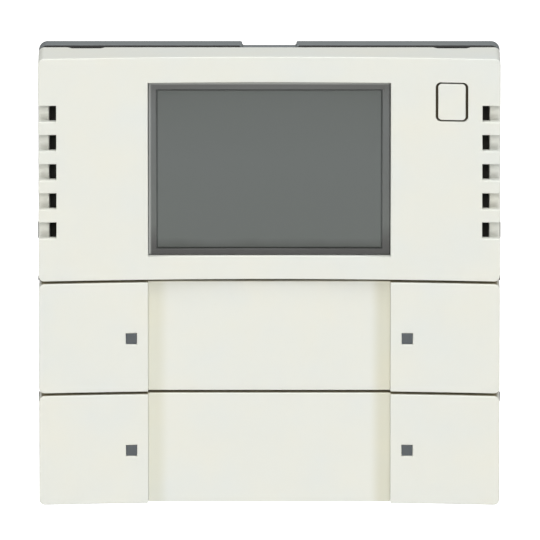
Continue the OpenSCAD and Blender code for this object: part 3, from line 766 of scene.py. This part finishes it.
# Housing, carrier and what is behind the plate
softWidths = {
    "rear_housing": 0.22, "chassis": 0.1, "main_board": 0.08, "display_frame": 0.1, "backlight_guide": 0.12,
    "contact_strip": 0.1, "backlight_lamps": 0.12, "key_switch": 0.06,
    "upper_pivot_pin": 0.12, "lower_pivot_pin": 0.12,
    "buffer_capacitor": 0.35, "quartz_crystal": 0.3, "sensor_board": 0.06,
    "bus_connector": 0.14, "retaining_clip_left": 0.08, "retaining_clip_right": 0.08,
    "temperature_sensor": 0.05, "microcontroller": 0.12, "bus_transceiver": 0.12,
}
for place in places:
    softWidths["plunger_" + place] = 0.12
    softWidths["rocker_switch_" + place] = 0.06
    softWidths["status_lamp_" + place] = 0.1
for node, width in softWidths.items():
    words = node.split("_")
    pieceName = words[0] + "".join(word.capitalize() for word in words[1:])
    settle(softened(pieceName, cadShape(node), convexOnly(width)), node)
print("inner pieces made:", len(softWidths))

# Springs
springLook = {"wire": 0.12, "turns": 4.0, "keep": 0.85, "plungerKeep": 0.75}
springs = [("key_spring", "function_key_press", springLook["keep"])]
for place in places:
    springs.append(("plunger_spring_" + place, "plunger_" + place + "_slide", springLook["plungerKeep"]))
for node, joint, keep in springs:
    low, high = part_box(node)
    wire = springLook["wire"] * mm
    middle = (low + high) / 2
    spring = grown(node.replace("_", "."), springTree, {
        "Radius": (high.x - low.x) / 2 - wire, "Wire": wire, "Length": high.y - low.y - 2 * wire,
        "Turns": springLook["turns"], "Start": (middle.x, low.y + wire, middle.z),
        "Finish": finishes["spring_steel"],
    })
    settle(spring, node)
    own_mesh(spring)
print("springs made")

# Connector pins
pinLook = {
    "columns": 5, "rows": 2, "size": 0.64, "tip": 0.4, "tipInset": 0.16,
    "rim": 0.9, "edge": 0.04, "segments": 2,
}
low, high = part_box("connector_pins")
pinShape = bmesh.new()
bmesh.ops.create_cube(pinShape, size=1.0)
half = pinLook["size"] / 2 * mm
length = high.y - low.y
for vertex in pinShape.verts:
    vertex.co = Vector((vertex.co.x * 2 * half, (vertex.co.y + 0.5) * length, vertex.co.z * 2 * half))
endFace = max(pinShape.faces, key=lambda face: face.calc_center_median().y)
bmesh.ops.inset_region(pinShape, faces=[endFace], thickness=pinLook["tipInset"] * mm, depth=0)
for vertex in pinShape.verts:
    outermost = max(abs(vertex.co.x), abs(vertex.co.z)) > half * pinLook["rim"]
    if outermost and vertex.co.y > length / 2:
        vertex.co.y -= pinLook["tip"] * mm
pinModel = softened("pinModel", pinShape, convexOnly(pinLook["edge"]), segments=pinLook["segments"])
columnPitch = (high.x - low.x - 2 * half) / (pinLook["columns"] - 1)
rowPitch = high.z - low.z - 2 * half
middle = (low + high) / 2
pins = repeated(
    "connectorPins", pinModel, pinLook["columns"], pinLook["rows"],
    columnPitch * (pinLook["columns"] - 1), rowPitch, (middle.x, low.y, middle.z), finishes["pin_gold"],
)
settle(pins, "connector_pins")
bpy.data.objects.remove(pinModel)

# Housing screws
screwLook = {  # in mm
    "headRadius": 1.5, "headDepth": 1.0, "headSlope": 0.35, "headDrop": 0.3,
    "shankRadius": 0.65, "crest": 0.07, "pitch": 0.5, "neck": 0.2, "pointRadius": 0.3, "point": 0.4,
    "recessRadius": 0.85, "recessDepth": 0.5, "slot": 0.36,
    "dimpleRadius": 0.18, "mouthRadius": 0.42, "mouthDrop": 0.06, "steps": 32, "edge": 0.05,
}
low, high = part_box("housing_screws")
headTop = high.y / mm
shankEnd = low.y / mm
headRadius, shankRadius = screwLook["headRadius"], screwLook["shankRadius"]
rootRadius = shankRadius - screwLook["crest"]
dimpleFloor = headTop - screwLook["recessDepth"]
headBottom = headTop - screwLook["headDepth"]
profile = [
    (0, dimpleFloor), (screwLook["dimpleRadius"], dimpleFloor),
    (screwLook["mouthRadius"], headTop - screwLook["mouthDrop"]),
    (headRadius - screwLook["headSlope"], headTop), (headRadius, headTop - screwLook["headDrop"]),
    (headRadius, headBottom), (shankRadius, headBottom),
]
depth = headBottom - screwLook["neck"]
while depth - screwLook["pitch"] > shankEnd + screwLook["point"]:
    profile += [(rootRadius, depth), (shankRadius, depth - screwLook["pitch"] / 2)]
    depth -= screwLook["pitch"]
profile += [(rootRadius, depth), (screwLook["pointRadius"], shankEnd), (0, shankEnd)]
screwModel = lathe("screwModel", profile, screwLook["steps"], screwLook["edge"])
crossShape = bmesh.new()
barSize = (2 * screwLook["recessRadius"] * mm, 2 * screwLook["recessDepth"] * mm, screwLook["slot"] * mm)
for turn in (0, math.pi / 2):
    made = bmesh.ops.create_cube(crossShape, size=1.0)["verts"]
    bmesh.ops.scale(crossShape, vec=barSize, verts=made)
    bmesh.ops.rotate(crossShape, cent=(0, 0, 0), matrix=Matrix.Rotation(turn, 3, "Y"), verts=made)
    bmesh.ops.translate(crossShape, vec=(0, headTop * mm, 0), verts=made)
crossMesh = bpy.data.meshes.new("crossCutter")
crossShape.to_mesh(crossMesh)
crossShape.free()
crossCutter = addPiece("crossCutter", crossMesh)
recess = screwModel.modifiers.new("recess", "BOOLEAN")
recess.operation = "DIFFERENCE"
recess.solver = "EXACT"
recess.use_self = True
recess.object = crossCutter
plainMesh(screwModel)
screws = repeated(
    "housingScrews", screwModel, 2, 2, high.x - low.x - 2 * headRadius * mm,
    high.z - low.z - 2 * headRadius * mm, (0, 0, 0), finishes["screw_steel"],
)
settle(screws, "housing_screws")
bpy.data.objects.remove(screwModel)
bpy.data.objects.remove(crossCutter)
print("pins and screws made")

# Stage
stageLook = {  # lengths in metres; the floor glows behind the object and not in front of it
    "floorDrop": 0.3, "reach": 6.0, "dark": 0.75, "light": 0.78, "fibre": 0.04, "roughness": 0.8, "wear": 0.1,
    "nearGlow": 0.05, "farGlow": 1.0, "glowFrom": 0.2, "glowTo": 0.8,
}
worldLook = {"tint": (1.0, 0.96, 0.88, 1), "strength": 0.16}
floorShape = bmesh.new()
reach = stageLook["reach"]
for x, y, z in [(-reach, -reach, 0), (reach, -reach, 0), (reach, reach, 0), (-reach, reach, 0)]:
    floorShape.verts.new((x, y, z - stageLook["floorDrop"]))
floorShape.faces.new(floorShape.verts[:])
floorMesh = bpy.data.meshes.new("floor")
floorShape.to_mesh(floorMesh)
floorShape.free()
floor = addPiece("floor", floorMesh)

paper = Bench("palePaper")
fibre = paper.noise(stageLook["fibre"], 3.0)
behind = paper.rise(paper.axis(1), stageLook["glowFrom"], stageLook["glowTo"])
floorMesh.materials.append(paper.finish(
    {"Base Color": paper.mix(fibre, grey(stageLook["dark"]), grey(stageLook["light"])),
     "Roughness": stageLook["roughness"] + fibre * stageLook["wear"],
     "Emission Color": paper.mix(behind, grey(stageLook["nearGlow"]), grey(stageLook["farGlow"]))},
    {"Emission Strength": 1.0},
))

world = bpy.data.worlds.new("studio")
bpy.context.scene.world = world
world.use_nodes = True
sky = world.node_tree.nodes["Background"]
sky.inputs["Color"].default_value = worldLook["tint"]
sky.inputs["Strength"].default_value = worldLook["strength"]


def direction(look):  # towards a light or the camera; azimuth 0 is in front of the object
    turn, rise = math.radians(look["azimuth"]), math.radians(look["elevation"])
    return Vector((math.sin(turn) * math.cos(rise), -math.cos(turn) * math.cos(rise), math.sin(rise)))


def softLight(name, look):
    data = bpy.data.lights.new(name, "AREA")
    data.size = look["size"]
    data.energy = look["power"]
    data.color = look["tint"]
    lamp = bpy.data.objects.new(name, data)
    spot = direction(look) * look["distance"]
    lamp.location = spot
    lamp.rotation_euler = (-spot).to_track_quat("-Z", "Y").to_euler()
    bpy.context.scene.collection.objects.link(lamp)


lights = {
    "topSoftbox": {
        "azimuth": 1, "elevation": 70, "distance": 2.6, "size": 1.4, "power": 44, "tint": (0.95, 0.98, 1.0),
    },
    "mainSoftbox": {
        "azimuth": 2, "elevation": 20, "distance": 2.6, "size": 1.0, "power": 28.5,
        "tint": (1.0, 0.99, 0.965),
    },
    "backSoftbox": {
        "azimuth": 170, "elevation": 40, "distance": 2.8, "size": 1.6, "power": 10, "tint": (1.0, 1.0, 1.0),
    },
}
for lightName, look in lights.items():
    softLight(lightName, look)

# Camera
cameraLook = {  # distance and clipEnd in metres, rise, aside and front in mm
    "azimuth": 0.0, "elevation": 14.1, "distance": 2.2, "lens": 1073.3, "sensor": 36, "clipEnd": 50,
    "rise": 1.49, "aside": 0.095, "front": -9.5,
}
cameraData = bpy.data.cameras.new("camera")
cameraData.lens = cameraLook["lens"]
cameraData.sensor_width = cameraLook["sensor"]
cameraData.clip_end = cameraLook["clipEnd"]
camera = bpy.data.objects.new("camera", cameraData)
bpy.context.scene.collection.objects.link(camera)
toCamera = direction(cameraLook)
facing = (-toCamera).to_track_quat("-Z", "Y")
frontMiddle = Vector((cameraLook["aside"] * mm, cameraLook["front"] * mm, 0))
aim = frontMiddle + facing @ Vector((0, cameraLook["rise"] * mm, 0))
camera.location = aim + toCamera * cameraLook["distance"]
camera.rotation_euler = facing.to_euler()
bpy.context.scene.camera = camera
bpy.context.scene.view_settings.view_transform = "Standard"

print("scene made")
